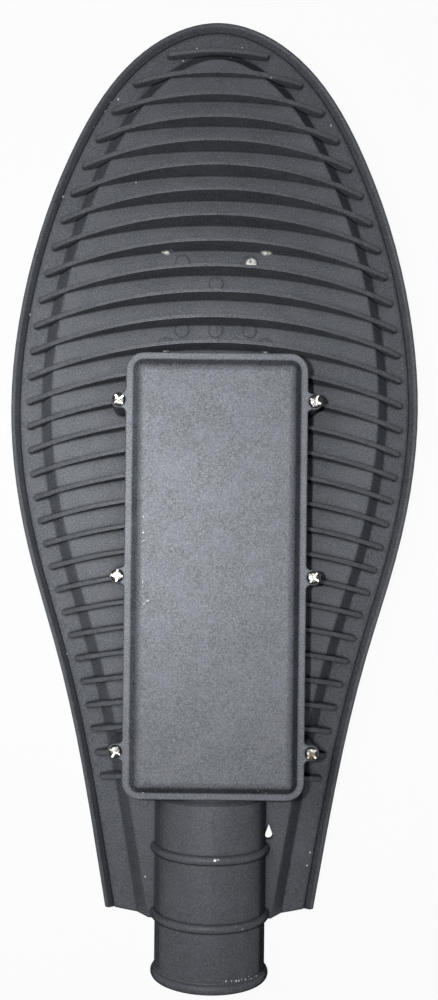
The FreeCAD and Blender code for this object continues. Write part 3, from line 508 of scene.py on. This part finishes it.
# What makes each slot's material, and with what values
MATERIALS = {
    "powder_coat": (powder_coat, {**HOUSING_COAT, "chips": HOUSING_CHIPS, "marks": BARE_MARKS}),
    "cover_coat": (powder_coat, {**COVER_COAT, "chips": COVER_CHIPS, "scratches": COVER_SCRATCHES}),
    "ring_coat": (powder_coat, HOUSING_COAT),
    "zinc": (bright_metal, {"dark": (0.36, 0.35, 0.33), "light": (0.92, 0.9, 0.86),
                            "turned_away_shade": 0.12, "rust": SCREW_RUST}),
    "stainless": (bright_metal, {"dark": (0.4, 0.4, 0.4), "light": (0.75, 0.75, 0.76), "turned_away_shade": 0.3}),
    "tinned": (bright_metal, {"dark": (0.62, 0.62, 0.63), "light": (0.85, 0.85, 0.86)}),
    "brass": (bright_metal, {"dark": (0.62, 0.42, 0.16), "light": (0.85, 0.66, 0.32)}),
    "driver_metal": (bright_metal, {"dark": (0.6, 0.6, 0.61), "light": (0.8, 0.8, 0.82),
                                    "rough": (0.3, 0.5)}),
    "lamp_plate": (bright_metal, {"dark": (0.7, 0.7, 0.7), "light": (0.9, 0.9, 0.9), "rough": (0.25, 0.4)}),
    "reflector": (bright_metal, {"dark": (0.86, 0.87, 0.88), "light": (0.95, 0.95, 0.96),
                                 "rough": (0.04, 0.1), "grain_scale": 200.0}),
    "silicone": (moulded, {"dark": (0.28, 0.29, 0.3), "light": (0.42, 0.43, 0.44)}),
    "rubber": (moulded, {"dark": (0.018, 0.018, 0.018), "light": (0.04, 0.04, 0.04), "rough": (0.5, 0.7)}),
    "potting": (moulded, {"dark": (0.05, 0.05, 0.055), "light": (0.09, 0.09, 0.095)}),
    "driver_plastic": (moulded, {"dark": (0.68, 0.68, 0.66), "light": (0.8, 0.8, 0.78)}),
    "terminal_plastic": (moulded, {"dark": (0.74, 0.71, 0.62), "light": (0.84, 0.81, 0.73)}),
    "pad": (moulded, {"dark": (0.32, 0.38, 0.44), "light": (0.42, 0.48, 0.54), "rough": (0.6, 0.8)}),
    "lens_glass": (lens_glass, {}),
    "phosphor": (phosphor, {}),
}


def dress_nodes():
    """Give every piece the material of its slot in the record, and return the materials by slot."""
    made = {}
    for name, piece in frame["nodes"].items():
        slot = SLOTS[name]
        if slot not in made:
            make, values = MATERIALS[slot]
            made[slot] = make(slot, **values)
        piece.data.materials.clear()
        piece.data.materials.append(made[slot])
    return made


def recess_floor(x, y):
    """Height of the cross recess's floor at a place on a head, and the head's height beside it."""
    floor = HEAD_H
    for along, across in ((abs(x), abs(y)), (abs(y), abs(x))):
        if along < RECESS_ARM and across < RECESS_HALF:
            flank = max(0.0, across / RECESS_HALF - RECESS_FLAT) / (1 - RECESS_FLAT)
            share = RECESS_FLOOR + RECESS_RISE * along / RECESS_ARM + RECESS_FLANK * flank
            floor = min(floor, HEAD_H * share)
    return floor


def head_rings(angles, turn):
    """Rings of points from the middle of a pan head's top to its seat, with the recess turned."""
    rings = []
    for step in range(1, HEAD_STEPS + 1):
        r = HEAD_R * math.sin(step / HEAD_STEPS * math.pi / 2)
        dome = HEAD_H - DOME_H * (1 - math.sqrt(max(0.0, 1 - (r / HEAD_R) ** 2)))
        ring = []
        for angle in angles:
            floor = recess_floor(r * math.cos(angle - turn), r * math.sin(angle - turn))
            ring.append((r * math.cos(angle), r * math.sin(angle), min(dome, floor)))
        rings.append(ring)
    rings.append([(HEAD_R * math.cos(angle), HEAD_R * math.sin(angle), 0.0) for angle in angles])
    return rings


def thread_rings(angles, length):
    """Rings of points down a thread from the head's seat to its tapered end."""
    steps = TURN_STEPS * round(length / THREAD_PITCH)
    rings = []
    for step in range(1, steps + 1):
        z = -length * step / steps
        taper = min(1.0, TIP_SHARE + (1 - TIP_SHARE) * (length + z) / THREAD_TIP)
        ring = []
        for angle in angles:
            phase = (z / THREAD_PITCH - angle / (2 * math.pi)) % 1.0
            r = taper * (THREAD_R - THREAD_DEPTH * abs(2 * phase - 1))
            ring.append((r * math.cos(angle), r * math.sin(angle), z))
        rings.append(ring)
    return rings


def add_screw(mesh, place, rings):
    """Join the rings of one screw into a closed skin, moved to its place."""
    points = [[mesh.verts.new(place @ Vector(point)) for point in ring] for ring in rings]
    for upper, lower in zip(points, points[1:]):
        for side in range(SCREW_SIDES):
            mesh.faces.new((lower[side - 1], lower[side], upper[side], upper[side - 1]))
    mesh.faces.new(points[0])
    mesh.faces.new(points[-1][::-1])


def screw_set(name, seats, turns, down):
    """One object of like screws in place of the node, each seat given by its place in millimetres."""
    low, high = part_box(name)
    seat_z = low.z + HEAD_H * MM if down else high.z - HEAD_H * MM
    length = (high.z - low.z) / MM - HEAD_H
    angles = [2 * math.pi * step / SCREW_SIDES for step in range(SCREW_SIDES)]
    mesh = bmesh.new()
    for (x, y), turn in zip(seats, turns):
        place = Matrix.Translation((x * MM, y * MM, seat_z)) @ Matrix.Scale(MM, 4)
        if down:
            place = place @ Matrix.Rotation(math.pi, 4, "X")
        add_screw(mesh, place, head_rings(angles, math.radians(turn)) + thread_rings(angles, length))
    data = bpy.data.meshes.new(name + "_detailed")
    mesh.to_mesh(data)
    mesh.free()
    piece = bpy.data.objects.new(name + "_detailed", data)
    bpy.context.scene.collection.objects.link(piece)
    return piece


def add_screws(made):
    """Pan heads with real recesses and threads, where the CAD has plain ones in sight."""
    for name, rows, turns, down in SCREW_SETS:
        low, high = (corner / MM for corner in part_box(name))
        x = high.x - HEAD_R
        first, last = low.y + HEAD_R, high.y - HEAD_R
        row_places = [first + (last - first) * row / (rows - 1) for row in range(rows)]
        seats = [(side * x, y) for y in row_places for side in (-1, 1)]
        piece = screw_set(name, seats, turns, down)
        piece.data.materials.append(made[SLOTS[name]])
        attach(piece, "root")
        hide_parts(name)


def place_camera():
    """Camera at the photograph's place, looking straight down on the finned back."""
    data = bpy.data.cameras.new("camera")
    data.sensor_fit = "VERTICAL"
    data.sensor_height = CAMERA_SENSOR
    data.lens = CAMERA_LENS
    data.shift_x, data.shift_y = CAMERA_SHIFT
    camera = bpy.data.objects.new("camera", data)
    bpy.context.scene.collection.objects.link(camera)
    camera.matrix_world = Matrix.Translation(CAMERA_AT) @ Matrix.Rotation(CAMERA_ROLL, 4, "Z")
    bpy.context.scene.camera = camera


def add_light(name, place, aim, size, power, beam=180.0):
    """Round lamp that shines from its place towards the aim, within the beam's angle in degrees."""
    data = bpy.data.lights.new(name, "AREA")
    data.shape = "DISK"
    data.size = size
    data.energy = power
    data.spread = math.radians(beam)
    light = bpy.data.objects.new(name, data)
    bpy.context.scene.collection.objects.link(light)
    light.location = place
    light.rotation_euler = (Vector(aim) - Vector(place)).to_track_quat("-Z", "Y").to_euler()


def seen_directly(tree):
    """1 for rays that show the background: straight, in a reflection or through glass."""
    path = node(tree, "ShaderNodeLightPath")
    total = calc(tree, "MAXIMUM", path.outputs["Is Camera Ray"], path.outputs["Is Glossy Ray"])
    return calc(tree, "MAXIMUM", total, path.outputs["Is Transmission Ray"])


def floor_material():
    """Pale matt floor that looks white and still keeps the object's shadow."""
    material = bpy.data.materials.new("floor")
    tree = empty_tree(material)
    matt = node(tree, "ShaderNodeBsdfDiffuse", {"Color": (FLOOR_COLOUR, FLOOR_COLOUR, FLOOR_COLOUR, 1)})
    glow = node(tree, "ShaderNodeEmission", {"Color": (1, 1, 1, 1), "Strength": 1.0})
    share = calc(tree, "MULTIPLY", seen_directly(tree), FLOOR_GLOW)
    mix = node(tree, "ShaderNodeMixShader", {0: share, 1: matt.outputs[0], 2: glow.outputs[0]})
    node(tree, "ShaderNodeOutputMaterial", {"Surface": mix.outputs[0]})
    return material


def add_floor():
    bpy.ops.mesh.primitive_plane_add(size=FLOOR_SIZE, location=(0, 0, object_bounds()[0].z))
    floor = bpy.context.object
    floor.name = "floor"
    floor.data.materials.append(floor_material())
    floor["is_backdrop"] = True


def add_world():
    """White surroundings for rays that show them, and only a little light on the object."""
    world = bpy.data.worlds.new("world")
    tree = empty_tree(world)
    bpy.context.scene.world = world
    strength = spread(tree, seen_directly(tree), 0.0, 1.0, WORLD_FILL, 1.0)
    background = node(tree, "ShaderNodeBackground", {"Color": (1, 1, 1, 1), "Strength": strength})
    node(tree, "ShaderNodeOutputWorld", {"Surface": background.outputs[0]})


def add_lights():
    """The key and a wide soft lamp above, and weak ones all round."""
    low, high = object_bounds()
    middle = (low + high) / 2
    add_light("key", CAMERA_AT + KEY_OFFSET, KEY_AIM, KEY_SIZE, KEY_POWER, KEY_BEAM)
    add_light("soft", SOFT_AT, middle, SOFT_SIZE, SOFT_POWER)
    for number, (x, y) in enumerate(FILL_SIDES):
        side = Vector((x, y, FILL_RISE)).normalized() * FILL_DISTANCE
        add_light("fill_" + str(number), middle + side, middle, FILL_SIZE, FILL_POWER)


add_screws(dress_nodes())
place_camera()
add_floor()
add_world()
add_lights()
bpy.context.scene.view_settings.view_transform = "Standard"
